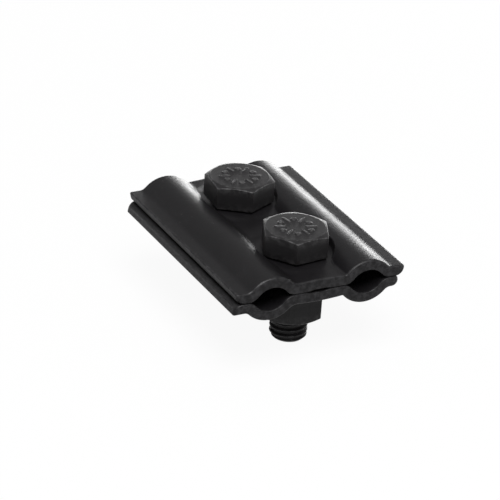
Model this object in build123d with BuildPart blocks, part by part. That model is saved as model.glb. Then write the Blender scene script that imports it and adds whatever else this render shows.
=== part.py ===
from build123d import *
from math import asin, cos, degrees, hypot, radians, sqrt, tan
import os

os.makedirs("parts", exist_ok=True)

# Parallel groove clamp for two parallel round conductors, in millimetres.
# Two equal pressed steel plates face each other and two hexagon bolts with nuts and spring
# washers draw them together. The origin is midway between the bolts in the plane where the
# plates meet, +Z points out of the bolt heads and Y runs along the grooves.

# Pressed plates
plate_length = 50.0
plate_thickness = 2.2
groove_pitch = 21.8
groove_radius = 4.25
groove_depth = 2.45
crease_radius = 0.6
web_bow = 0.25
lip_width = 2.5
lip_slant = 0.5
lip_roll = 0.4

# Seats pressed round the bolt holes
bolt_pitch = 25.0
seat_rise = 0.1
seat_clearance = 0.05
hole_clearance = 0.07
upper_shift = (-0.55, -0.4)
lower_shift = (-1.05, -0.65)

# Hexagon bolts and nuts
thread_diameter = 8.0
hexagon_width = 13.0
crown_inset = 0.325
hexagon_chamfer = 30.0
head_height = 5.5
nut_height = 6.8
thread_clearance = 0.05
thread_lead_in = 0.8
nut_countersink = 0.4
bolt_projection = 5.6
head_turn = {"front": 5.6, "rear": 25.0}
nut_turn = {"front": 50.0, "rear": 20.0}

# Split spring washers, drawn flat
washer_bore_clearance = 0.1
washer_overhang = 0.9
washer_thickness = 2.0
split_gap = 1.0
split_slant = 20.0
split_turn = {"front": 35.0, "rear": 80.0}

# Running gaps between pieces that turn or lift
contact_gap = 0.04
turning_gap = 0.02

# The pressed line is a chain of tangent arcs: web, inner shoulder, groove, outer shoulder, lip
bend_radius = crease_radius + plate_thickness
groove_centre = groove_depth - groove_radius
arc_distance = groove_radius + bend_radius
groove_reach = sqrt(arc_distance**2 - (bend_radius - groove_centre) ** 2)
groove_swing = degrees(asin(groove_reach / arc_distance))
inner_shoulder = groove_pitch / 2 - groove_reach
outer_shoulder = groove_pitch / 2 + groove_reach
web_radius = (inner_shoulder**2 - 2 * bend_radius * web_bow + web_bow**2) / (2 * web_bow)
web_centre = web_bow - web_radius
web_swing = degrees(asin(inner_shoulder / (web_radius + bend_radius)))
lip_end = outer_shoulder + lip_width

# Fits round the bolt axes
hexagon_corner = hexagon_width / 2 / cos(radians(30))
crown_radius = hexagon_width / 2 - crown_inset
shank_radius = thread_diameter / 2
washer_inner = shank_radius + washer_bore_clearance
washer_outer = hexagon_width / 2 + washer_overhang
hole_radius = shank_radius + hypot(*lower_shift) + hole_clearance
seat_radius = seat_clearance + max(hexagon_corner + hypot(*upper_shift), washer_outer + hypot(*lower_shift))

# Levels, all counted from the plane where the plates meet
seat_height = web_bow + plate_thickness + seat_rise
hump_height = groove_depth + plate_thickness
seat_level = contact_gap / 2 + seat_height
head_level = seat_level + turning_gap
washer_level = -seat_level - washer_thickness
nut_top = washer_level - turning_gap
nut_level = nut_top - nut_height
bolt_end = nut_level - bolt_projection

bolt_places = {"front": -bolt_pitch / 2, "rear": bolt_pitch / 2}
chamfer_spread = head_height / tan(radians(hexagon_chamfer))


def pressed_side(offset, end):
    """Half of the pressed line, offset outwards from the contact face, out to the lip's end."""
    CenterArc((0, web_centre), web_radius + offset, 90 - web_swing, web_swing)
    CenterArc((inner_shoulder, bend_radius), bend_radius - offset, 270 - web_swing, web_swing + groove_swing)
    CenterArc((groove_pitch / 2, groove_centre), groove_radius + offset, 90 - groove_swing, 2 * groove_swing)
    CenterArc((outer_shoulder, bend_radius), bend_radius - offset, 270 - groove_swing, groove_swing)
    Line((outer_shoulder, offset), (end, offset))


# Both plates are the same pressing. The lower one is turned over and lies a little to one side.
plate_faces = {
    "upper_plate": Plane((*upper_shift, contact_gap / 2), x_dir=(1, 0, 0), z_dir=(0, 0, 1)),
    "lower_plate": Plane((*lower_shift, -contact_gap / 2), x_dir=(1, 0, 0), z_dir=(0, 0, -1)),
}

for name, face in plate_faces.items():
    with BuildPart() as plate:
        with BuildSketch(Plane(face.origin, x_dir=face.x_dir, z_dir=-face.y_dir)) as profile:
            with BuildLine():
                pressed_side(0, lip_end)
                pressed_side(plate_thickness, lip_end + lip_slant)
                Line((0, web_bow), (0, web_bow + plate_thickness))
                Line((lip_end, 0), (lip_end + lip_slant, plate_thickness))
            make_face()
            fillet(profile.vertices().sort_by_distance((lip_end, 0))[0], lip_roll)
            mirror(about=Plane.YZ)
        extrude(amount=plate_length / 2, both=True)
        with BuildSketch(face.offset(seat_height)) as seats:
            with GridLocations(0, bolt_pitch, 1, 2):
                Circle(seat_radius)
        extrude(seats.sketch, amount=-(seat_rise + 2 * web_bow))
        extrude(seats.sketch, amount=hump_height - seat_rise, mode=Mode.SUBTRACT)
        with Locations(face.offset(seat_height)):
            with GridLocations(0, bolt_pitch, 1, 2):
                Hole(hole_radius)
    plate.part.label = name
    export_step(plate.part, f"parts/{name}.step")

# Hexagon bolts: a chamfered head and a plain shank at the thread's outer diameter
for place, y in bolt_places.items():
    with BuildPart() as bolt:
        with BuildSketch(Plane((0, y, head_level))):
            RegularPolygon(hexagon_width / 2, 6, major_radius=False, rotation=head_turn[place])
        extrude(amount=head_height)
        with Locations((0, y, head_level)):
            Cone(
                crown_radius + chamfer_spread,
                crown_radius,
                head_height,
                align=(Align.CENTER, Align.CENTER, Align.MIN),
                mode=Mode.INTERSECT,
            )
        with BuildSketch(Plane((0, y, head_level))):
            Circle(shank_radius)
        extrude(amount=bolt_end - head_level)
        chamfer(bolt.faces().sort_by(Axis.Z)[0].edges(), thread_lead_in)
    bolt.part.label = f"{place}_bolt"
    export_step(bolt.part, f"parts/{place}_bolt.step")

# Hexagon nuts, chamfered on both faces and countersunk at both ends of the bore
nut_spread = nut_height / tan(radians(hexagon_chamfer))
for place, y in bolt_places.items():
    with BuildPart() as nut:
        with BuildSketch(Plane((0, y, nut_level))):
            RegularPolygon(hexagon_width / 2, 6, major_radius=False, rotation=nut_turn[place])
        extrude(amount=nut_height)
        for wide_end, narrow_end in ((nut_spread, 0), (0, nut_spread)):
            with Locations((0, y, nut_level)):
                Cone(
                    crown_radius + wide_end,
                    crown_radius + narrow_end,
                    nut_height,
                    align=(Align.CENTER, Align.CENTER, Align.MIN),
                    mode=Mode.INTERSECT,
                )
        with BuildSketch(Plane((0, y, nut_level))):
            Circle(shank_radius + thread_clearance)
        extrude(amount=nut_height, mode=Mode.SUBTRACT)
        bore_edges = nut.faces().filter_by(Axis.Z).edges().filter_by(GeomType.CIRCLE)
        chamfer(bore_edges.filter_by(lambda e: e.radius < shank_radius + 2 * thread_clearance), nut_countersink)
    nut.part.label = f"{place}_nut"
    export_step(nut.part, f"parts/{place}_nut.step")

# Spring washers: a flat ring cut through by one slanted split
split_lean = washer_thickness / 2 * tan(radians(split_slant))
for place, y in bolt_places.items():
    with BuildPart() as washer:
        with BuildSketch(Plane((0, y, washer_level))):
            Circle(washer_outer)
            Circle(washer_inner, mode=Mode.SUBTRACT)
        extrude(amount=washer_thickness)
        radial = Vector(1, 0, 0).rotate(Axis.Z, split_turn[place])
        middle = (0, y, washer_level + washer_thickness / 2)
        with BuildSketch(Plane(middle, x_dir=Vector(0, 0, 1).cross(radial), z_dir=radial)):
            Polygon(
                (-split_gap / 2 - split_lean, -washer_thickness / 2),
                (split_gap / 2 - split_lean, -washer_thickness / 2),
                (split_gap / 2 + split_lean, washer_thickness / 2),
                (-split_gap / 2 + split_lean, washer_thickness / 2),
                align=None,
            )
        extrude(amount=2 * washer_outer, mode=Mode.SUBTRACT)
    washer.part.label = f"{place}_spring_washer"
    export_step(washer.part, f"parts/{place}_spring_washer.step")
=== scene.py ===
# Parallel groove clamp: two pressed steel plates lie with their grooves facing, and two hexagon bolts
# with nuts and spring washers draw them together. X runs across the grooves, Y along them and Z along
# the bolts. The origin is midway between the bolts, where the plates face each other. Sizes are in
# millimetres until a mesh is written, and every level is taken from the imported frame.
import math

import bmesh
import bpy
import numpy as np
from mathutils import Matrix, Vector


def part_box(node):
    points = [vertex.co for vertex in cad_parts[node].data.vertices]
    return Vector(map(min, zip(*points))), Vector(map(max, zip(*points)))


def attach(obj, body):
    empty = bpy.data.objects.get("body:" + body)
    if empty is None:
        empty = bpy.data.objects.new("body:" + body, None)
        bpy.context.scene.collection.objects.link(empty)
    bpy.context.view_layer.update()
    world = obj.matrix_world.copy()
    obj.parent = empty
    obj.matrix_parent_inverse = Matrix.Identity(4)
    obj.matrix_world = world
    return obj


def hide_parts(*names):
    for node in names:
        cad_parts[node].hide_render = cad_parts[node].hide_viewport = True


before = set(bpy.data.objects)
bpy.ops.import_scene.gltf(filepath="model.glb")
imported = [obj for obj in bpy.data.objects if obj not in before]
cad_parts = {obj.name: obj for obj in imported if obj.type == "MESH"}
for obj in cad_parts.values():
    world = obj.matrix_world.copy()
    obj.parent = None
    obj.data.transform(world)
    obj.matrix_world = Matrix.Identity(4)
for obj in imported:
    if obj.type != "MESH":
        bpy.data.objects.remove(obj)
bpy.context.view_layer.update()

MM = 0.001

# Pressed plates
PLATE_THICKNESS = 2.2
GROOVE_PITCH = 21.8
GROOVE_RADIUS = 4.25
GROOVE_DEPTH = 2.45
BEND_RADIUS = 0.6 + PLATE_THICKNESS
WEB_BOW = 0.25
LIP_WIDTH = 2.5
LIP_SLANT = 0.5
OUTER_BEND = 1.8
LEFT_INNER_BEND = 2.4
RIGHT_INNER_BEND = 0.6
BOW_FLAT = 1.1
BOW_FALL = 1.9
END_ROLL = 0.55
EDGE_BREAK = 0.16
TIP_RADIUS = 0.8
CORNER_ROOM = 0.97
UPPER_LIPS = {
    "left": {"longer": 0.0, "edge": 0.25, "roll": 1.5},
    "right": {"longer": 0.4, "edge": 0.6, "roll": 1.55},
}
LOWER_LIPS = {
    "left": {"longer": 0.0, "edge": 0.22, "roll": 1.5},
    "right": {"longer": -0.35, "edge": 1.2, "roll": 0.5},
}
BOLT_PITCH = 25.0
HOLE_RADIUS = 5.305
SEAT_RADIUS = 7.85
SEAT_RISE = 0.1
SEAT_WALL = 0.4
SEAT_FADE = 2.4

# Fasteners
HEXAGON_WIDTH = 13.0
HEXAGON_CORNER_RADIUS = 0.35
CROWN_RADIUS = 6.175
HEAD_CHAMFER = math.radians(20)
NUT_CHAMFER = math.radians(30)
WASHER_FACE = 0.42
WASHER_FACE_RADIUS = 5.85
THREAD_PITCH = 1.25
THREAD_RADIUS = 3.97
THREAD_DEPTH = 0.66
THREAD_LEAD_IN = 0.8
NUT_BORE = 4.05
NUT_COUNTERSINK = 0.4
WASHER_INNER = 4.1
WASHER_EDGE = 0.22
SPLIT_GAP = 1.0
SPLIT_SLANT = math.radians(20)
HEAD_TURN = {"front": math.radians(5.6), "rear": math.radians(25.0)}
NUT_TURN = {"front": math.radians(60.0), "rear": math.radians(20.0)}
SPLIT_TURN = {"front": math.radians(35.0), "rear": math.radians(80.0)}

# Derived places on the plates' section
GROOVE_CENTRE = GROOVE_DEPTH - GROOVE_RADIUS
ARC_DISTANCE = GROOVE_RADIUS + BEND_RADIUS
GROOVE_REACH = math.sqrt(ARC_DISTANCE**2 - (BEND_RADIUS - GROOVE_CENTRE) ** 2)
GROOVE_SWING = math.asin(GROOVE_REACH / ARC_DISTANCE)
INNER_SHOULDER = GROOVE_PITCH / 2 - GROOVE_REACH
OUTER_SHOULDER = GROOVE_PITCH / 2 + GROOVE_REACH
WEB_RADIUS = (INNER_SHOULDER**2 - 2 * BEND_RADIUS * WEB_BOW + WEB_BOW**2) / (2 * WEB_BOW)
WEB_CENTRE = WEB_BOW - WEB_RADIUS
LIP_END = OUTER_SHOULDER + LIP_WIDTH
SEAT_HEIGHT = WEB_BOW + PLATE_THICKNESS + SEAT_RISE


def node_box(node):
    """Lowest and highest corner of a CAD node, in millimetres."""
    low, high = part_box(node)
    return np.array(low) / MM, np.array(high) / MM


def smoothstep(value):
    """Rises from 0 to 1 while value goes from 0 to 1, level at both ends: 3v^2 - 2v^3."""
    v = np.clip(value, 0.0, 1.0)
    return v * v * (3 - 2 * v)


# ---------------------------------------------------------------- mesh helpers


def grid_quads(rows, columns, start=0, row_ring=False, column_ring=False):
    """Quads between the neighbours of a rows x columns grid of points numbered row by row."""
    i = np.arange(rows if row_ring else rows - 1)[:, None]
    j = np.arange(columns if column_ring else columns - 1)[None, :]
    i_next = (i + 1) % rows
    j_next = (j + 1) % columns
    corners = [i * columns + j, i_next * columns + j, i_next * columns + j_next, i * columns + j_next]
    return np.stack([np.broadcast_to(c, (i.size, j.size)) for c in corners], axis=-1).reshape(-1, 4) + start


def fan(ring, centre):
    """Triangles from each side of a closed ring of point numbers to one centre point."""
    ring = np.asarray(ring)
    return np.stack([ring, np.roll(ring, -1), np.full(ring.size, centre)], axis=-1)


def make_piece(name, points, faces, edge=None, sharp=math.radians(40)):
    """Writes points in millimetres and groups of equal-sided faces into a mesh. The faces of each closed
    shell are then turned to point outwards, whichever way round their points were listed."""
    points = np.asarray(points, dtype=float)
    groups = [np.asarray(g) for g in faces]
    mesh = bpy.data.meshes.new(name)
    mesh.from_pydata((points * MM).tolist(), [], [f for g in groups for f in g.tolist()])
    if edge is not None:
        layer = mesh.attributes.new("edge", "FLOAT", "POINT")
        layer.data.foreach_set("value", np.asarray(edge, dtype=np.float32))
    shell = bmesh.new()
    shell.from_mesh(mesh)
    bmesh.ops.recalc_face_normals(shell, faces=shell.faces)
    shell.to_mesh(mesh)
    shell.free()
    mesh.polygons.foreach_set("use_smooth", np.ones(len(mesh.polygons), dtype=bool))
    mesh.update()
    mesh.set_sharp_from_angle(angle=sharp)
    piece = bpy.data.objects.new(name, mesh)
    bpy.context.scene.collection.objects.link(piece)
    return piece


def join_shells(shells):
    """Puts closed shells, each (points, faces, edge), into one set of points, faces and edge values."""
    start = 0
    points, faces, edges = [], [], []
    for shell_points, shell_faces, shell_edge in shells:
        points.append(np.asarray(shell_points, dtype=float))
        faces.extend(np.asarray(g) + start for g in shell_faces)
        edges.append(shell_edge)
        start += len(shell_points)
    return np.concatenate(points), faces, np.concatenate(edges)


def corner_curve(before, corner, after, steps):
    """Quadratic curve from before to after that a sharp corner pulls towards itself:
    (1-t)^2 before + 2t(1-t) corner + t^2 after. Points are (..., 2), steps + 1 of them come back."""
    t = np.linspace(0, 1, steps + 1)
    shape = (steps + 1,) + (1,) * np.ndim(corner)
    t = t.reshape(shape)
    return (1 - t) ** 2 * before + 2 * t * (1 - t) * corner + t**2 * after


# ---------------------------------------------------------------- pressed plates


def bend_between(first, first_radius, second, second_radius, bend):
    """Centre of a bend tangent to two round humps from outside: bend + radius away from both centres,
    on the upper side. The two circles' crossing: half the gap plus a perpendicular step."""
    gap = second - first
    distance = np.hypot(*gap)
    reach_first = first_radius + bend
    reach_second = second_radius + bend
    along = (distance**2 + reach_first**2 - reach_second**2) / (2 * distance)
    across = np.sqrt(reach_first**2 - along**2)
    unit = gap / distance
    return first[0] + along * unit[0] - across * unit[1], first[1] + along * unit[1] + across * unit[0]


def outer_height(x, inset, inner_bend):
    """Height of the outer face at x, set in by inset: the bowed web, an inner bend, the groove's back, an
    outer bend and the flat lip, each an arc tangent to the next."""
    offset = PLATE_THICKNESS - inset
    inner_bend = inner_bend + inset
    outer_bend = OUTER_BEND + inset
    web_radius = WEB_RADIUS + offset
    back_radius = GROOVE_RADIUS + offset
    web_middle = np.array([0.0, WEB_CENTRE])
    groove_middle = np.array([GROOVE_PITCH / 2, GROOVE_CENTRE])
    inner_x, inner_z = bend_between(web_middle, web_radius, groove_middle, back_radius, inner_bend)
    outer_z = offset + outer_bend
    outer_x = GROOVE_PITCH / 2 + np.sqrt((back_radius + outer_bend) ** 2 - (outer_z - GROOVE_CENTRE) ** 2)
    web_end = inner_x * web_radius / (web_radius + inner_bend)
    inner_end = inner_x + (GROOVE_PITCH / 2 - inner_x) * inner_bend / (back_radius + inner_bend)
    back_end = outer_x + (GROOVE_PITCH / 2 - outer_x) * outer_bend / (back_radius + outer_bend)
    web = WEB_CENTRE + np.sqrt(web_radius**2 - x**2)
    inner = inner_z - np.sqrt(np.maximum(inner_bend**2 - (x - inner_x) ** 2, 0))
    back = GROOVE_CENTRE + np.sqrt(np.maximum(back_radius**2 - (x - GROOVE_PITCH / 2) ** 2, 0))
    outer = outer_z - np.sqrt(np.maximum(outer_bend**2 - (x - outer_x) ** 2, 0))
    parts = [web, inner, back, outer]
    return np.select([x < web_end, x < inner_end, x < back_end, x < outer_x], parts, x * 0 + offset)


def contact_height(x, inset):
    """Height of the contact face at x, set in by inset: flat beside a low bow in the middle of the web,
    a bend into the groove, the groove, the same bend back and the flat lip."""
    bend = BEND_RADIUS - inset
    bow = WEB_BOW * (1 - smoothstep((x - BOW_FLAT) / BOW_FALL)) + inset
    inner = BEND_RADIUS - np.sqrt(np.maximum(bend**2 - (x - INNER_SHOULDER) ** 2, 0))
    bore = GROOVE_RADIUS + inset
    groove = GROOVE_CENTRE + np.sqrt(np.maximum(bore**2 - (x - GROOVE_PITCH / 2) ** 2, 0))
    outer = BEND_RADIUS - np.sqrt(np.maximum(bend**2 - (x - OUTER_SHOULDER) ** 2, 0))
    inner_end = INNER_SHOULDER + bend * math.sin(GROOVE_SWING)
    groove_end = GROOVE_PITCH / 2 + bore * math.sin(GROOVE_SWING)
    parts = [bow, inner, groove, outer]
    limits = [x < INNER_SHOULDER, x < inner_end, x < groove_end, x < OUTER_SHOULDER]
    return np.select(limits, parts, x * 0 + inset)


def stations(limits, counts):
    """Places along each row: every gap between two limits is divided into its own count of equal steps."""
    parts = []
    for low, high, count in zip(limits[:-1], limits[1:], counts):
        share = np.arange(count) / count
        parts.append(low[:, None] + (high - low)[:, None] * share)
    parts.append(limits[-1][:, None])
    return np.concatenate(parts, axis=1)


def quarter_round(y, half_length, radius):
    """How far a face is set in at y by a round of that radius at each end: r - sqrt(r^2 - d^2)."""
    past = np.clip(np.abs(y) - (half_length - radius), 0, radius)
    return radius - np.sqrt(radius**2 - past**2)


def plate_rows(half_length, seats):
    """Y of each row: close rows round the ends of each seat and at the plate's ends, wider rows between."""
    reach = SEAT_RADIUS + 1.1
    parts = [(-reach, -SEAT_RADIUS + 0.6, 14), (-SEAT_RADIUS + 0.6, SEAT_RADIUS - 0.6, 50),
             (SEAT_RADIUS - 0.6, reach, 15)]
    seat = np.concatenate([np.linspace(a, b, n, endpoint=n == 15) for a, b, n in parts])
    front, rear = min(seats) + seat, max(seats) + seat
    middle = np.linspace(front[-1], rear[0], 11)[1:-1]
    tip = half_length - TIP_RADIUS
    rolled = np.linspace(tip, half_length - EDGE_BREAK, 9)[:-1]
    broken = half_length - EDGE_BREAK + EDGE_BREAK * np.sin(np.linspace(0, math.pi / 2, 6))
    end = np.concatenate([rolled, broken])
    front_run = np.linspace(-tip, front[0], 7)[1:-1]
    rear_run = np.linspace(rear[-1], tip, 7)[1:-1]
    return np.concatenate([-end[::-1], front_run, front, middle, rear, rear_run, end])


def half_section(y, half_length, seat_x, seats, lip, inner_bend):
    """One half of every row, from the middle of the web over the lip's edge and back underneath.
    Gives x and z, the edge values for worn coat and painted highlight, and how many stations the outer face and the
    lip's edge take."""
    from_bolt = np.min(np.abs(y[:, None] - np.array(seats)), axis=1)
    wall = seat_x + np.sqrt(np.maximum(SEAT_RADIUS**2 - from_bolt**2, 0))
    wall = np.maximum(5.3, wall)
    rolled = quarter_round(y, half_length, END_ROLL)[:, None]
    broken = quarter_round(y, half_length, EDGE_BREAK)[:, None]
    narrow = quarter_round(y, half_length, TIP_RADIUS)[:, None]

    # Both corners shrink together where the rolled end leaves too little thickness for them. The slanted
    # cut between them has its normal lowered by dip, its sine, so they need edge (1 + dip) + roll (1 - dip).
    dip = LIP_SLANT / np.hypot(LIP_SLANT, PLATE_THICKNESS)
    room = PLATE_THICKNESS - rolled - broken
    fit = np.minimum(1, CORNER_ROOM * room / (lip["edge"] * (1 + dip) + lip["roll"] * (1 - dip)))
    edge = lip["edge"] * fit
    roll = lip["roll"] * fit
    normal = np.array([PLATE_THICKNESS, -LIP_SLANT]) / np.hypot(LIP_SLANT, PLATE_THICKNESS)
    outer_tip = LIP_END + LIP_SLANT + lip["longer"] - narrow
    top = PLATE_THICKNESS - rolled - edge
    low = roll + broken
    top_x = outer_tip - (edge + (top - PLATE_THICKNESS) * normal[1]) / normal[0]
    low_x = outer_tip - (roll + (low - PLATE_THICKNESS) * normal[1]) / normal[0]
    lean = math.atan2(normal[1], normal[0])
    turn_top = np.linspace(math.pi / 2, lean, 8)[1:]
    turn_low = np.linspace(lean, -math.pi / 2, 10)[:-1]
    x_edge = [top_x + edge * np.cos(turn_top), low_x + roll * np.cos(turn_low)]
    z_edge = [top + edge * np.sin(turn_top), low + roll * np.sin(turn_low)]

    one = np.ones_like(y)
    counts = [22, 12, 26, 9, 5]
    flat_start = np.minimum(16.9, top_x[:, 0] - 0.25)
    x_out = stations([0 * one, wall - 0.15, wall + 1.0, 15.3 * one, flat_start, top_x[:, 0]], counts)
    x_in = stations([0 * one, 5.2 * one, 7.75 * one, 14.05 * one, 16.3 * one, low_x[:, 0]], counts)
    plain = outer_height(x_out, rolled, inner_bend)
    reach = np.hypot(x_out - seat_x, from_bolt[:, None])
    web_share = smoothstep((6.3 - x_out) / 1.2)
    width = SEAT_WALL + (SEAT_FADE - SEAT_WALL) * web_share
    blend = smoothstep((reach - SEAT_RADIUS) / width)
    seat = SEAT_HEIGHT - rolled
    z_out = seat + (plain - seat) * blend
    z_in = contact_height(x_in, broken)

    x_half = np.concatenate([x_out, *x_edge, x_in[:, ::-1]], axis=1)
    z_half = np.concatenate([z_out, *z_edge, z_in[:, ::-1]], axis=1)
    # The seat rim, the lip's edge and the rolled ends get lighter edge values: partly a worn coat, partly a painted
    # highlight line.
    rim = np.exp(-(((reach - SEAT_RADIUS) / width - 0.9) / 0.35) ** 2) * (1 - web_share)
    rim = rim * (plain > SEAT_HEIGHT + 0.3)
    wear_and_sheen = np.zeros_like(x_half)
    wear_and_sheen[:, :x_out.shape[1]] = 0.6 * rim
    wear_and_sheen[:, x_out.shape[1] - 1:x_out.shape[1] + 7] = 1.0
    wear_and_sheen[:, x_out.shape[1] + 7:x_out.shape[1] + 16] = 0.4
    ends = smoothstep((np.abs(y) - (half_length - END_ROLL - 0.1)) / 0.5)[:, None]
    return x_half, z_half, np.maximum(wear_and_sheen, 0.8 * ends), x_out.shape[1]


def pressed_plate(half_length, seat_x, seats, lips):
    """Points, faces, cut faces and edge values for worn coat and painted highlight of one plate, contact face down at z
    = 0. Each row is a closed loop of two half sections, and flat faces between the outer and contact stations close
    both ends."""
    y = plate_rows(half_length, seats)
    x_right, z_right, wear_and_sheen_right, lines = half_section(
        y, half_length, seat_x, seats, lips["right"], RIGHT_INNER_BEND)
    x_left, z_left, wear_and_sheen_left, _ = half_section(
        y, half_length, -seat_x, seats, lips["left"], LEFT_INNER_BEND)
    centre_out = 0.5 * (z_right[:, :1] + z_left[:, :1])
    z_right[:, :1] = centre_out
    x_loop = np.concatenate([x_right, -x_left[:, -2:0:-1]], axis=1)
    z_loop = np.concatenate([z_right, z_left[:, -2:0:-1]], axis=1)
    wear_and_sheen = np.concatenate([wear_and_sheen_right, wear_and_sheen_left[:, -2:0:-1]], axis=1)
    rows, columns = x_loop.shape
    points = np.stack([x_loop, np.broadcast_to(y[:, None], x_loop.shape), z_loop], axis=-1).reshape(-1, 3)

    half = x_right.shape[1]
    right_out = np.arange(lines)
    right_in = half - 1 - right_out
    left_out = (columns - right_out) % columns
    left_in = (columns - right_in) % columns
    left_in[0] = right_in[0]
    right_edge = np.arange(lines - 1, half - lines + 1)
    left_edge = (columns - right_edge) % columns
    end_faces = []
    edge_faces = []
    for row in (0, rows - 1):
        for out, inner in ((right_out, right_in), (left_out, left_in)):
            quads = np.stack([out[:-1], out[1:], inner[1:], inner[:-1]], axis=-1)
            quads = quads if (row == 0) == (out is right_out) else quads[:, ::-1]
            end_faces.append(quads + row * columns)
        for ring in (right_edge, left_edge[::-1]):
            ring = ring if row == 0 else ring[::-1]
            edge_faces.append(ring[None, :] + row * columns)
    sides = grid_quads(rows, columns, column_ring=True)[:, ::-1]
    return points, [sides, *end_faces, *edge_faces], wear_and_sheen.reshape(-1)


def bolt_hole_cutter(x, y):
    """A plain round cutter for one bolt hole: 96 sides, well past both faces of the plate."""
    angle = np.arange(96) * 2 * math.pi / 96
    ring = np.stack([x + HOLE_RADIUS * np.cos(angle), y + HOLE_RADIUS * np.sin(angle)], axis=-1)
    low = np.column_stack([ring, np.full(96, -9.0)])
    high = np.column_stack([ring, np.full(96, 9.0)])
    points = np.concatenate([low, high, [[x, y, -9.0], [x, y, 9.0]]])
    faces = [grid_quads(2, 96, column_ring=True), fan(np.arange(96)[::-1], 192), fan(np.arange(96, 192), 193)]
    return make_piece("hole_cutter", points, faces)


def finish_plate(name, contact_down, lips):
    """Presses a plate where the CAD node is, turned over about X if its contact face is on top, with its
    seats round the bolts' axes, and cuts its two bolt holes with applied Booleans."""
    low, high = node_box(name)
    centre = (low + high) / 2
    side = 1.0 if contact_down else -1.0
    bolts = [(np.array(node_box(place + "_bolt")).mean(axis=0)) for place in ("front", "rear")]
    seats = [side * (bolt_axis[1] - centre[1]) for bolt_axis in bolts]
    half_length = (high[1] - low[1]) / 2
    points, faces, wear_and_sheen = pressed_plate(half_length, bolts[0][0] - centre[0], seats, lips)
    level = low[2] if contact_down else high[2]
    placed = points * [1.0, side, side] + [centre[0], centre[1], level]
    plate = make_piece(name + "_pressing", placed, faces, wear_and_sheen, sharp=math.radians(60))
    for place, bolt_axis in zip(("front", "rear"), bolts):
        cutter = bolt_hole_cutter(centre[0], centre[1] + math.copysign(BOLT_PITCH / 2, bolt_axis[1]))
        hole = plate.modifiers.new(place + "_hole", "BOOLEAN")
        hole.operation = "DIFFERENCE"
        hole.solver = "EXACT"
        hole.object = cutter
        graph = bpy.context.evaluated_depsgraph_get()
        mesh = bpy.data.meshes.new_from_object(plate.evaluated_get(graph))
        plate.modifiers.clear()
        plate.data = mesh
        bpy.data.objects.remove(cutter)
    plate.data.name = plate.name
    plate.data.set_sharp_from_angle(angle=math.radians(60))
    return plate


# ---------------------------------------------------------------- hexagon bolts and nuts


def hexagon_reach(angle):
    """Distance from the centre to a hexagon with rounded corners, corners at 0, 60, 120 degrees and so on.
    Along a flat it is apothem / cos; near a corner it is where the ray meets the corner's own circle."""
    apothem = HEXAGON_WIDTH / 2
    to_corner = np.abs((angle + math.pi / 6) % (math.pi / 3) - math.pi / 6)
    to_flat = math.pi / 6 - to_corner
    circle = (apothem - HEXAGON_CORNER_RADIUS) / math.cos(math.pi / 6)
    tangent = math.atan((apothem - HEXAGON_CORNER_RADIUS) * math.tan(math.pi / 6) / apothem)
    inside = np.maximum(HEXAGON_CORNER_RADIUS**2 - (circle * np.sin(to_corner)) ** 2, 0)
    rounded = circle * np.cos(to_corner) + np.sqrt(inside)
    return np.where(to_flat < tangent, apothem / np.cos(to_flat), rounded)


def crowded_angles(count):
    """Evenly numbered angles drawn towards the six corners: a - (0.72 / 6) sin 6a."""
    even = np.arange(count) * 2 * math.pi / count
    return even - 0.72 / 6 * np.sin(6 * even)


def chamfered_rim(angle, face, up, chamfer):
    """Rings from a hexagon's crown circle, down its chamfer and round its edge to the flats.
    Radius and height of each ring; up is +1 for a top face and -1 for an underside."""
    reach = hexagon_reach(angle)
    zero = np.zeros_like(angle)
    fall = math.tan(chamfer)
    crown = np.stack([zero + CROWN_RADIUS, zero], axis=-1)
    corner = np.stack([reach, -(reach - CROWN_RADIUS) * fall], axis=-1)
    down = np.array([math.cos(chamfer), -math.sin(chamfer)])
    first = corner_curve(crown + [-0.14, 0], crown, crown + 0.14 * down, 4)
    second = corner_curve(corner - 0.13 * down, corner, corner + [0, -0.13], 4)
    between = 0.5 * (first[-1] + second[0])
    rings = np.concatenate([first, between[None], second])
    # Lighter values at the crown and along the chamfer's edge: partly a worn coat, partly a painted highlight line.
    wear_and_sheen = np.array([0.1, 0.45, 0.6, 0.45, 0.1, 0.0, 0.3, 0.9, 1.0, 0.9, 0.3])
    return rings[..., 0], face + up * rings[..., 1], wear_and_sheen


def ring_points(radius, height, angle, turn, centre):
    """Points at radius and height round a bolt's axis, every ring turned by the same angle."""
    radius, height, angle = np.broadcast_arrays(radius, height, angle)
    x = centre[0] + radius * np.cos(angle + turn)
    y = centre[1] + radius * np.sin(angle + turn)
    return np.stack([x, y, height], axis=-1).reshape(-1, 3)


def stroke_distance(x, y, start, end):
    """Distance from each point to the straight stroke between start and end."""
    along = np.subtract(end, start)
    share = ((x - start[0]) * along[0] + (y - start[1]) * along[1]) / (along @ along)
    share = np.clip(share, 0, 1)
    return np.hypot(x - start[0] - share * along[0], y - start[1] - share * along[1])


def head_relief(x, y, turn):
    """Height of the forged marks on a head: radial bars and a stud between each two, turned together. The
    height falls smoothly from MARK_HEIGHT to nothing just past each stroke's half width."""
    across = np.cos(turn) * x + np.sin(turn) * y
    along = np.cos(turn) * y - np.sin(turn) * x
    nearest = np.full_like(x, 9.0)
    for start, end in HEAD_BARS:
        nearest = np.minimum(nearest, stroke_distance(across, along, np.array(start), np.array(end)))
    for cx, cy, radius in HEAD_RINGS:
        nearest = np.minimum(nearest, np.abs(np.hypot(across - cx, along - cy) - radius))
    return MARK_HEIGHT * (1 - smoothstep((nearest - MARK_HALF_WIDTH) / 0.22)), nearest


HEAD_BARS = [
    ((2.3 * math.cos(a), 2.3 * math.sin(a)), (4.1 * math.cos(a), 4.1 * math.sin(a)))
    for a in np.radians(np.arange(0, 360, 60))
]
HEAD_RINGS = [
    (3.35 * math.cos(a), 3.35 * math.sin(a), 0.34) for a in np.radians(np.arange(30, 390, 60))
]
MARK_HEIGHT = 0.17
MARK_HALF_WIDTH = 0.2
MARK_TURN = {"front": math.radians(-26), "rear": math.radians(-44)}


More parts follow.
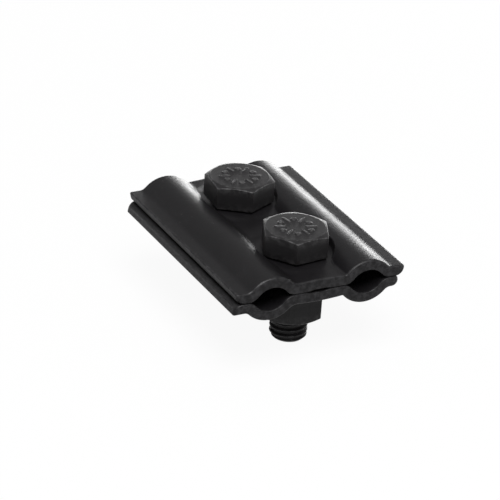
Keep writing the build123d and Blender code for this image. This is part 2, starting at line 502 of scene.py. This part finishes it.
def concentric(side):
    """A square grid of side x side cells drawn into the unit disc: each square ring becomes a circle, its
    points spread evenly in angle. Gives x and y, and the point numbers of the outermost ring in order."""
    line = np.linspace(-1, 1, side + 1)
    a, b = np.meshgrid(line, line, indexing="ij")
    radius = np.maximum(np.abs(a), np.abs(b))
    safe = np.where(radius == 0, 1, radius)
    quarter = math.pi / 4
    angle = np.where(
        np.abs(a) >= np.abs(b),
        np.where(a >= 0, quarter * b / safe, math.pi + quarter * b / safe),
        np.where(b >= 0, 2 * quarter - quarter * a / safe, 6 * quarter - quarter * (-a) / safe * -1),
    )
    angle = np.where((np.abs(a) < np.abs(b)) & (b < 0), 6 * quarter + quarter * a / safe, angle)
    angle = np.where((np.abs(a) >= np.abs(b)) & (a < 0), 4 * quarter - quarter * b / safe * -1 * -1, angle)
    x, y = radius * np.cos(angle), radius * np.sin(angle)
    number = np.arange((side + 1) ** 2).reshape(side + 1, side + 1)
    rim = np.concatenate([number[-1, :-1], number[::-1, -1][:-1], number[0, ::-1][:-1], number[:-1, 0]])
    return x, y, rim


def bolt_head(place, centre, top, bottom):
    """A forged hexagon head as one closed shell: a disc with raised marks, a chamfered rim, flats and an
    underside that closes on the axis."""
    side = 116
    turn = HEAD_TURN[place]
    x, y, rim = concentric(side)
    disc_radius = CROWN_RADIUS - 0.14
    relief, nearest = head_relief(x * disc_radius, y * disc_radius, MARK_TURN[place])
    rim_angle = np.unwrap(np.arctan2(y.reshape(-1)[rim], x.reshape(-1)[rim]))
    first = int(np.argmin(np.abs((rim_angle + math.pi) % (2 * math.pi) - math.pi)))
    rim = np.roll(rim, -first)
    count = rim.size
    even = np.arange(count) * 2 * math.pi / count
    crowded = crowded_angles(count)
    across = np.cos(turn) * x - np.sin(turn) * y
    along = np.sin(turn) * x + np.cos(turn) * y
    disc = np.stack(
        [centre[0] + disc_radius * across, centre[1] + disc_radius * along, top + relief], axis=-1
    ).reshape(-1, 3)
    disc_edge = 0.5 * np.exp(-((nearest - 0.12) / 0.12) ** 2).reshape(-1)

    radius, height, wear_and_sheen = chamfered_rim(crowded, top, 1, HEAD_CHAMFER)
    share = smoothstep(np.linspace(0.1, 1, 5))
    radius[0] = disc_radius
    angles = np.repeat(crowded[None], radius.shape[0], axis=0)
    angles[:5] = even + (crowded - even) * share[:, None]
    reach = hexagon_reach(crowded)
    under = bottom + WASHER_FACE
    below = corner_curve(
        np.stack([reach, np.full(count, under + 0.15)], axis=-1),
        np.stack([reach, np.full(count, under)], axis=-1),
        np.stack([reach - 0.15, np.full(count, under)], axis=-1),
        3,
    )
    side_height = height[-1] + (under + 0.15 - height[-1]) * np.array([[0.33], [0.66]])
    face = [(WASHER_FACE_RADIUS, under), (WASHER_FACE_RADIUS, bottom + 0.05), (WASHER_FACE_RADIUS - 0.06, bottom),
            (3.0, bottom)]
    face_radius = np.array([[r] * count for r, _ in face])
    face_height = np.array([[z] * count for _, z in face])
    radius = np.concatenate([radius[1:], np.repeat(reach[None], 2, 0), below[..., 0], face_radius])
    height = np.concatenate([height[1:], side_height, below[..., 1], face_height])
    wear_and_sheen = np.concatenate([wear_and_sheen[1:], [0, 0], [0.2, 0.6, 0.6, 0.1], [0, 0, 0, 0]])
    angles = np.concatenate([angles[1:], np.repeat(crowded[None], 10, 0)])
    rings = ring_points(radius, height, angles, turn, centre)
    start = disc.shape[0]
    rows = radius.shape[0]
    lace = np.stack([rim, np.roll(rim, -1), start + (np.arange(count) + 1) % count, start + np.arange(count)], -1)
    middle = np.array([[centre[0], centre[1], bottom]])
    points = np.concatenate([disc, rings, middle])
    top_quads = grid_quads(side + 1, side + 1)
    faces = [
        top_quads,
        lace[:, ::-1],
        grid_quads(rows, count, start, column_ring=True)[:, ::-1],
        fan(start + (rows - 1) * count + np.arange(count), start + rows * count)[:, ::-1],
    ]
    edge = np.concatenate([disc_edge, np.repeat(wear_and_sheen, count), [0.0]])
    return points, faces, edge


def threaded_shank(centre, top, end):
    """A bolt's shank as one closed shell with a right-hand thread. At angle a and height z the distance u
    from the nearest crest is that of z / pitch - a / turn; the radius falls from crest to root while u
    goes from 1/16 to 3/8 of the pitch. A 45 degree lead-in cuts the thread away at the end."""
    count = 96
    rows = int((top - end) / (THREAD_PITCH / 16))
    height = np.concatenate([[end], np.linspace(end, top, rows)])
    angle = np.arange(count) * 2 * math.pi / count
    phase = height[:, None] / THREAD_PITCH - angle[None, :] / (2 * math.pi)
    from_crest = np.abs(phase - np.round(phase))
    depth = THREAD_DEPTH * smoothstep((from_crest - 0.04) / 0.34)
    depth = depth * smoothstep((top - 1.6 - height[:, None]) / 1.2)
    radius = THREAD_RADIUS - depth
    lead = THREAD_RADIUS - THREAD_LEAD_IN + (height[:, None] - end)
    radius = np.minimum(radius, lead)
    radius[0] = THREAD_RADIUS - THREAD_LEAD_IN - 0.12
    crest = np.clip(1 - from_crest / 0.12, 0, 1) * (lead > THREAD_RADIUS - 0.1)
    crest = crest * smoothstep((top - 1.6 - height[:, None]) / 1.2)
    points = ring_points(radius, height[:, None], angle[None, :], 0.0, centre)
    total = height.size
    caps = np.array([[centre[0], centre[1], end], [centre[0], centre[1], top]])
    faces = [
        grid_quads(total, count, column_ring=True),
        fan(np.arange(count)[::-1], total * count)[:, ::-1],
        fan((total - 1) * count + np.arange(count), total * count + 1)[:, ::-1],
    ]
    edge = np.concatenate([0.5 * crest.reshape(-1), [0.0, 0.0]])
    return np.concatenate([points, caps]), faces, edge


def bolt(place):
    """A hexagon bolt in the CAD bolt's place: its head and its threaded shank."""
    low, high = node_box(place + "_bolt")
    nut_low, nut_high = node_box(place + "_nut")
    centre = (low + high) / 2
    head_bottom = high[2] - 5.5
    head = bolt_head(place, centre, high[2], head_bottom)
    shank = threaded_shank(centre, head_bottom + 0.6, low[2])
    points, faces, edge = join_shells([head, shank])
    return make_piece(place + "_hexagon_bolt", points, faces, edge)


def nut(place):
    """A hexagon nut as one closed ring: bore, countersink, face, chamfered rim, flats and the same below."""
    low, high = node_box(place + "_nut")
    centre = (low + high) / 2
    count = 288
    angle = crowded_angles(count)
    top_radius, top_height, wear_and_sheen = chamfered_rim(angle, high[2], 1, NUT_CHAMFER)
    bottom_radius, bottom_height, _ = chamfered_rim(angle, low[2], -1, NUT_CHAMFER)
    reach = hexagon_reach(angle)
    flat = top_height[-1] + (bottom_height[-1] - top_height[-1]) * np.array([[0.33], [0.66]])
    one = np.ones((1, count))
    bore_top = [(NUT_BORE, high[2] - NUT_COUNTERSINK - 0.05), (NUT_BORE + 0.04, high[2] - NUT_COUNTERSINK + 0.04),
                (NUT_BORE + NUT_COUNTERSINK - 0.04, high[2] - 0.04), (NUT_BORE + NUT_COUNTERSINK + 0.08, high[2])]
    bore_low = [(r, low[2] + high[2] - z) for r, z in bore_top[::-1]]
    radius = np.concatenate(
        [one * r for r, _ in bore_top] + [top_radius, np.repeat(reach[None], 2, 0), bottom_radius[::-1]]
        + [one * r for r, _ in bore_low]
    )
    height = np.concatenate(
        [one * z for _, z in bore_top] + [top_height, flat, bottom_height[::-1]] + [one * z for _, z in bore_low]
    )
    wear_and_sheen = np.concatenate([[0, 0.2, 0.5, 0.3], wear_and_sheen, [0, 0], wear_and_sheen[::-1], [0.3, 0.5, 0.2, 0]])
    points = ring_points(radius, height, angle, NUT_TURN[place], centre)
    faces = [grid_quads(radius.shape[0], count, row_ring=True, column_ring=True)]
    return make_piece(place + "_hexagon_nut", points, faces, np.repeat(wear_and_sheen, count))


def spring_washer(place):
    """A flat spring washer: a rounded rectangle swept round the bolt from one side of the split to the
    other. At radius r and height h above the middle the split's sides lie at asin((+-gap/2 + h tan slant)/r)."""
    low, high = node_box(place + "_spring_washer")
    bolt_low, bolt_high = node_box(place + "_bolt")
    centre = (bolt_low + bolt_high) / 2
    outer = (high[1] - low[1]) / 2
    outer = max(outer, (high[0] - low[0]) / 2)
    half = (high[2] - low[2]) / 2
    middle = (high[2] + low[2]) / 2
    e = WASHER_EDGE
    turn = np.linspace(0, math.pi / 2, 5)
    section = []
    for cr, ch, start in (
        (outer - e, half - e, 0), (WASHER_INNER + e, half - e, 1), (WASHER_INNER + e, e - half, 2),
        (outer - e, e - half, 3),
    ):
        a = turn + start * math.pi / 2
        section.append(np.stack([cr + e * np.cos(a), ch + e * np.sin(a)], axis=-1))
    section = np.concatenate(section)
    r, h = section[:, 0], section[:, 1]
    lean = h * math.tan(SPLIT_SLANT)
    begin = np.arcsin((SPLIT_GAP / 2 + lean) / r)
    stop = 2 * math.pi + np.arcsin((-SPLIT_GAP / 2 + lean) / r)
    share = np.linspace(0, 1, 161)[:, None]
    angle = begin + (stop - begin) * share
    points = ring_points(r, middle + h, angle, SPLIT_TURN[place], centre)
    size = r.size
    last = 160 * size
    faces = [
        grid_quads(161, size, column_ring=True),
        np.arange(size)[None, ::-1],
        last + np.arange(size)[None, :],
    ]
    edge = np.tile(np.concatenate([[0.2, 0.8, 1.0, 0.8, 0.2]] * 4), 161)
    edge = edge.reshape(161, size)
    edge[[0, -1]] = 1.0
    return make_piece(place + "_split_washer", points, faces, edge.reshape(-1))


# ---------------------------------------------------------------- finishes


def node(tree, kind, x=0, y=0, **values):
    """A shader node of one kind with its properties set."""
    made = tree.nodes.new(kind)
    made.location = (x, y)
    for key, value in values.items():
        setattr(made, key, value)
    return made


def maths(tree, operation, first, second=None, clamp=False):
    """One Math node; each input is a socket or a number."""
    made = node(tree, "ShaderNodeMath", operation=operation, use_clamp=clamp)
    for slot, value in enumerate((first, second)):
        if value is None:
            continue
        if isinstance(value, (int, float)):
            made.inputs[slot].default_value = value
        else:
            tree.links.new(value, made.inputs[slot])
    return made.outputs[0]


def noise(tree, vector, scale, detail=3.0, roughness=0.55):
    """A Noise Texture's value at the given places, scale in features per metre."""
    made = node(tree, "ShaderNodeTexNoise")
    made.inputs["Detail"].default_value = detail
    made.inputs["Roughness"].default_value = roughness
    tree.links.new(vector, made.inputs["Vector"])
    if isinstance(scale, (int, float)):
        made.inputs["Scale"].default_value = scale
    else:
        tree.links.new(scale, made.inputs["Scale"])
    return made.outputs["Fac"]


def ramp(tree, value, low, high, to_low=0.0, to_high=1.0):
    """Smoothly maps low..high onto to_low..to_high, held level outside."""
    made = node(tree, "ShaderNodeMapRange", interpolation_type="SMOOTHSTEP")
    for name, number in (("From Min", low), ("From Max", high), ("To Min", to_low), ("To Max", to_high)):
        made.inputs[name].default_value = number
    tree.links.new(value, made.inputs["Value"])
    return made.outputs["Result"]


def mix_colour(tree, share, first, second):
    """Mix of two colours, each a socket or an RGBA tuple."""
    made = node(tree, "ShaderNodeMix", data_type="RGBA")
    tree.links.new(share, made.inputs["Factor"])
    for slot, value in ((6, first), (7, second)):
        if isinstance(value, tuple):
            made.inputs[slot].default_value = value
        else:
            tree.links.new(value, made.inputs[slot])
    return made.outputs[2]


def coated_steel_group():
    """Black finish on steel: mottled colour, a fine uneven skin, lighter grey edges that are partly a worn coat and
    partly a painted highlight, bare chips and dust.
    Inputs set the amounts; outputs are Color, Roughness, Metallic and Height, all changing over the surface."""
    group = bpy.data.node_groups.new("black_coated_steel", "ShaderNodeTree")
    face = group.interface
    for name, kind, value in (
        ("Coat", "NodeSocketColor", (0.02, 0.02, 0.021, 1)),
        ("Rubbed", "NodeSocketColor", (0.09, 0.09, 0.092, 1)),
        ("Gloss Roughness", "NodeSocketFloat", 0.38),
        ("Skin Scale", "NodeSocketFloat", 1400.0),
        ("Skin Height", "NodeSocketFloat", 0.5),
        ("Edge Rub", "NodeSocketFloat", 0.5),
        ("Chips", "NodeSocketFloat", 0.5),
        ("Dust", "NodeSocketFloat", 0.5),
    ):
        socket = face.new_socket(name=name, in_out="INPUT", socket_type=kind)
        socket.default_value = value
    for name, kind in (
        ("Color", "NodeSocketColor"), ("Roughness", "NodeSocketFloat"),
        ("Metallic", "NodeSocketFloat"), ("Height", "NodeSocketFloat"),
    ):
        face.new_socket(name=name, in_out="OUTPUT", socket_type=kind)
    given = node(group, "NodeGroupInput").outputs
    result = node(group, "NodeGroupOutput").inputs
    place = node(group, "ShaderNodeTexCoord").outputs["Object"]
    edge = node(group, "ShaderNodeAttribute", attribute_name="edge").outputs["Fac"]

    cloud = noise(group, place, 95.0, 4.0)
    mottle = noise(group, place, 620.0, 5.0, 0.62)
    skin = noise(group, place, given["Skin Scale"], 3.0, 0.6)
    grit = noise(group, place, 5200.0, 2.0, 0.6)
    tone = maths(group, "ADD", ramp(group, cloud, 0.3, 0.7, 0.0, 0.5), ramp(group, mottle, 0.3, 0.7, 0.0, 0.5))
    dark = node(group, "ShaderNodeHueSaturation")
    dark.inputs["Value"].default_value = 0.72
    group.links.new(given["Coat"], dark.inputs["Color"])
    coat = mix_colour(group, tone, dark.outputs["Color"], given["Coat"])

    broken = ramp(group, noise(group, place, 900.0, 5.0, 0.65), 0.38, 0.66)
    # Lighter grey along edges: partly a worn coat, partly a painted highlight line where edges catch the light.
    rub_and_sheen = maths(group, "MULTIPLY", maths(group, "MULTIPLY", edge, broken), given["Edge Rub"], clamp=True)
    coat = mix_colour(group, rub_and_sheen, coat, given["Rubbed"])

    spots = node(group, "ShaderNodeTexVoronoi", feature="F1")
    spots.inputs["Scale"].default_value = 260.0
    spots.inputs["Randomness"].default_value = 1.0
    warp = node(group, "ShaderNodeVectorMath", operation="MULTIPLY_ADD")
    ragged = node(group, "ShaderNodeTexNoise")
    ragged.inputs["Scale"].default_value = 1900.0
    group.links.new(place, ragged.inputs["Vector"])
    group.links.new(ragged.outputs["Color"], warp.inputs[0])
    warp.inputs[1].default_value = (0.0011, 0.0011, 0.0011)
    group.links.new(place, warp.inputs[2])
    group.links.new(warp.outputs["Vector"], spots.inputs["Vector"])
    rare = ramp(group, noise(group, place, 75.0, 2.0), 0.60, 0.68)
    near_edge = maths(group, "ADD", maths(group, "MULTIPLY", edge, 0.09), 0.045)
    chip = maths(group, "LESS_THAN", spots.outputs["Distance"], near_edge)
    chip = maths(group, "MULTIPLY", maths(group, "MULTIPLY", chip, rare), given["Chips"], clamp=True)
    coat = mix_colour(group, chip, coat, (0.42, 0.41, 0.40, 1))

    specks = node(group, "ShaderNodeTexVoronoi", feature="F1")
    specks.inputs["Scale"].default_value = 1150.0
    group.links.new(place, specks.inputs["Vector"])
    fine = ramp(group, specks.outputs["Distance"], 0.05, 0.13, 1.0, 0.0)
    patch = ramp(group, noise(group, place, 210.0, 3.0), 0.5, 0.66)
    upward = node(group, "ShaderNodeSeparateXYZ")
    group.links.new(node(group, "ShaderNodeNewGeometry").outputs["Normal"], upward.inputs[0])
    settle = ramp(group, upward.outputs["Z"], 0.2, 0.9)
    dust = maths(group, "MULTIPLY", maths(group, "MULTIPLY", fine, patch), settle)
    dust = maths(group, "MULTIPLY", dust, given["Dust"], clamp=True)
    coat = mix_colour(group, dust, coat, (0.17, 0.165, 0.155, 1))
    group.links.new(coat, result["Color"])

    rough = maths(group, "ADD", given["Gloss Roughness"], ramp(group, cloud, 0.25, 0.75, -0.05, 0.06))
    rough = maths(group, "ADD", rough, ramp(group, grit, 0.3, 0.7, -0.02, 0.03))
    rough = maths(group, "ADD", rough, maths(group, "MULTIPLY", dust, 0.3), clamp=True)
    group.links.new(rough, result["Roughness"])
    group.links.new(maths(group, "MAXIMUM", chip, maths(group, "MULTIPLY", rub_and_sheen, 0.4)), result["Metallic"])
    height = maths(group, "MULTIPLY", skin, given["Skin Height"])
    height = maths(group, "ADD", height, maths(group, "MULTIPLY", grit, 0.22))
    height = maths(group, "SUBTRACT", height, maths(group, "MULTIPLY", chip, 0.5))
    group.links.new(height, result["Height"])
    return group


def coated_steel(name, group, depth, shine, **amounts):
    """A material with the shared black finish, its amounts, its shine and the depth of its relief in metres."""
    material = bpy.data.materials.new(name)
    material.use_nodes = True
    tree = material.node_tree
    surface = tree.nodes["Principled BSDF"]
    finish = node(tree, "ShaderNodeGroup", -500, 0, node_tree=group)
    for key, value in amounts.items():
        finish.inputs[key.replace("_", " ")].default_value = value
    surface.inputs["Specular IOR Level"].default_value = shine
    bump = node(tree, "ShaderNodeBump", -240, -260)
    bump.inputs["Distance"].default_value = depth
    bump.inputs["Strength"].default_value = 1.0
    tree.links.new(finish.outputs["Height"], bump.inputs["Height"])
    tree.links.new(bump.outputs["Normal"], surface.inputs["Normal"])
    tree.links.new(finish.outputs["Color"], surface.inputs["Base Color"])
    tree.links.new(finish.outputs["Roughness"], surface.inputs["Roughness"])
    tree.links.new(finish.outputs["Metallic"], surface.inputs["Metallic"])
    return material


# ---------------------------------------------------------------- the clamp

coating = coated_steel_group()
# The edge amounts below also set how strong the painted edge highlights are.
plate_lacquer = coated_steel(
    "plate_black_lacquer", coating, 0.000022, 0.32,
    Coat=(0.0085, 0.0078, 0.0088, 1), Rubbed=(0.06, 0.059, 0.062, 1), Gloss_Roughness=0.39,
    Skin_Scale=1250.0, Skin_Height=0.9, Edge_Rub=0.55, Chips=1.0, Dust=0.55,
)
fastener_black = {
    "bolt": coated_steel(
        "bolt_satin_black", coating, 0.00002, 0.32,
        Coat=(0.0150, 0.0140, 0.0150, 1), Rubbed=(0.17, 0.167, 0.17, 1), Gloss_Roughness=0.42,
        Skin_Scale=2300.0, Skin_Height=0.8, Edge_Rub=0.75, Chips=0.5, Dust=0.7,
    ),
    "nut": coated_steel(
        "nut_satin_black", coating, 0.00002, 0.32,
        Coat=(0.0110, 0.0105, 0.0112, 1), Rubbed=(0.12, 0.118, 0.12, 1), Gloss_Roughness=0.45,
        Skin_Scale=2300.0, Skin_Height=0.8, Edge_Rub=0.7, Chips=0.4, Dust=0.4,
    ),
    "washer": coated_steel(
        "washer_satin_black", coating, 0.000018, 0.32,
        Coat=(0.0100, 0.0095, 0.0100, 1), Rubbed=(0.12, 0.118, 0.12, 1), Gloss_Roughness=0.42,
        Skin_Scale=2600.0, Skin_Height=0.7, Edge_Rub=0.6, Chips=0.4, Dust=0.3,
    ),
}


def dress(piece, material, body, slot, *nodes):
    """Gives a finished piece its material and body, and hides the CAD nodes it stands for. The slot is not used."""
    piece.data.materials.clear()
    piece.data.materials.append(material)
    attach(piece, body)
    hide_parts(*nodes)


upper_plate = finish_plate("upper_plate", True, UPPER_LIPS)
lower_plate = finish_plate("lower_plate", False, LOWER_LIPS)
dress(upper_plate, plate_lacquer, "upper_plate", "plate_lacquer", "upper_plate")
dress(lower_plate, plate_lacquer, "lower_plate", "plate_lacquer", "lower_plate")
for place in ("front", "rear"):
    dress(bolt(place), fastener_black["bolt"], place + "_bolt", "bolt_black", place + "_bolt")
    dress(nut(place), fastener_black["nut"], place + "_nut", "nut_black", place + "_nut")
    dress(spring_washer(place), fastener_black["washer"], "lower_plate", "washer_black", place + "_spring_washer")

# ---------------------------------------------------------------- floor, light and camera


FLOOR_SEEN = 0.93
FLOOR_MIRRORED = 0.5
BRIGHT_SHEET = 3.4
BRIGHT_SHEET_HEADING = math.radians(38)


def pale_floor(level):
    """A wide pale floor under the bolts. Seen directly it is nearly white and keeps a share of the shadow. Seen in
    reflections it glows like a lamp, brightest in a sheet behind and to the right: a painted reflection source.
    """
    reach = 3000.0
    corners = np.array([[-reach, -reach, level], [reach, -reach, level], [reach, reach, level], [-reach, reach, level]])
    mesh = bpy.data.meshes.new("pale_floor")
    mesh.from_pydata((corners * MM).tolist(), [], [(0, 1, 2, 3)])
    floor = bpy.data.objects.new("pale_floor", mesh)
    bpy.context.scene.collection.objects.link(floor)
    material = bpy.data.materials.new("pale_floor")
    material.use_nodes = True
    tree = material.node_tree
    tree.nodes.clear()
    rays = node(tree, "ShaderNodeLightPath").outputs
    seen = maths(tree, "MULTIPLY", rays["Is Camera Ray"], FLOOR_SEEN)
    mirrored = maths(tree, "ADD", rays["Is Glossy Ray"], rays["Is Transmission Ray"], clamp=True)
    share = maths(tree, "ADD", seen, mirrored, clamp=True)
    matt = node(tree, "ShaderNodeBsdfDiffuse")
    matt.inputs["Color"].default_value = (0.82, 0.82, 0.82, 1)
    glow = node(tree, "ShaderNodeEmission")
    place = node(tree, "ShaderNodeSeparateXYZ")
    tree.links.new(node(tree, "ShaderNodeTexCoord").outputs["Object"], place.inputs[0])
    # Painted reflection source: a glow seen only in reflections, rising to BRIGHT_SHEET behind and to the right of the
    # clamp.
    rightward = maths(tree, "MULTIPLY", place.outputs["X"], math.sin(BRIGHT_SHEET_HEADING))
    behind = maths(tree, "MULTIPLY", place.outputs["Y"], math.cos(BRIGHT_SHEET_HEADING))
    away = maths(tree, "ADD", rightward, behind)
    ramp_up = maths(tree, "DIVIDE", maths(tree, "SUBTRACT", away, 0.03), 0.09, clamp=True)
    mirror_glow = maths(tree, "MULTIPLY_ADD", ramp_up, BRIGHT_SHEET - FLOOR_MIRRORED)
    mirror_glow.node.inputs[2].default_value = FLOOR_MIRRORED
    extra = maths(tree, "MULTIPLY", mirrored, maths(tree, "SUBTRACT", mirror_glow, 1.0))
    tree.links.new(maths(tree, "ADD", extra, 1.0), glow.inputs["Strength"])
    both = node(tree, "ShaderNodeMixShader")
    tree.links.new(share, both.inputs["Fac"])
    tree.links.new(matt.outputs[0], both.inputs[1])
    tree.links.new(glow.outputs[0], both.inputs[2])
    tree.links.new(both.outputs[0], node(tree, "ShaderNodeOutputMaterial").inputs["Surface"])
    mesh.materials.append(material)


def soft_light(name, azimuth, elevation, distance, size, power):
    """A rectangular lamp at a bearing from +Y towards +X and a height in degrees, facing the clamp."""
    lamp = bpy.data.lights.new(name, "AREA")
    lamp.shape = "RECTANGLE"
    lamp.size, lamp.size_y = size
    lamp.energy = power
    a, e = math.radians(azimuth), math.radians(elevation)
    way = Vector((math.sin(a) * math.cos(e), math.cos(a) * math.cos(e), math.sin(e)))
    held = bpy.data.objects.new(name, lamp)
    held.matrix_world = Matrix.Translation(way * distance) @ way.to_track_quat("Z", "Y").to_matrix().to_4x4()
    bpy.context.scene.collection.objects.link(held)


def studio_world(strength):
    """An even pale surround, white where the camera sees it past the floor."""
    world = bpy.data.worlds.new("studio")
    bpy.context.scene.world = world
    world.use_nodes = True
    tree = world.node_tree
    back = tree.nodes["Background"]
    back.inputs["Color"].default_value = (1, 1, 1, 1)
    rays = node(tree, "ShaderNodeLightPath").outputs
    level = maths(tree, "ADD", maths(tree, "MULTIPLY", rays["Is Camera Ray"], 1 - strength), strength)
    tree.links.new(level, back.inputs["Strength"])


def clamp_camera():
    """A long lens 622 mm away, 29.17 degrees left of the front and 27.04 degrees up, rolled by -4.03."""
    heading, height, roll = math.radians(29.17), math.radians(27.04), math.radians(-4.03)
    right = Vector((math.cos(heading), -math.sin(heading), 0))
    rise = math.sin(height)
    up = Vector((math.sin(heading) * rise, math.cos(heading) * rise, math.cos(height)))
    back = Vector((-math.sin(heading) * math.cos(height), -math.cos(heading) * math.cos(height), rise))
    level_right = right * math.cos(roll) - up * math.sin(roll)
    level_up = right * math.sin(roll) + up * math.cos(roll)
    lens = bpy.data.cameras.new("camera")
    lens.sensor_width = 36
    lens.lens = 215.9
    lens.clip_start = 0.05
    lens.clip_end = 20
    camera = bpy.data.objects.new("camera", lens)
    place = (back * 622.2 - level_right * 3.101 - level_up * 2.963) * MM
    turn = Matrix((level_right, level_up, back)).transposed().to_4x4()
    camera.matrix_world = Matrix.Translation(place) @ turn
    bpy.context.scene.collection.objects.link(camera)
    bpy.context.scene.camera = camera


pale_floor(node_box("front_bolt")[0][2])
studio_world(0.36)
soft_light("back_right_softbox", 44, 2, 0.4, (0.5, 0.07), 1.1)
soft_light("top_softbox", 200, 66, 1.1, (0.7, 0.7), 12)
clamp_camera()
bpy.context.scene.view_settings.view_transform = "Standard"
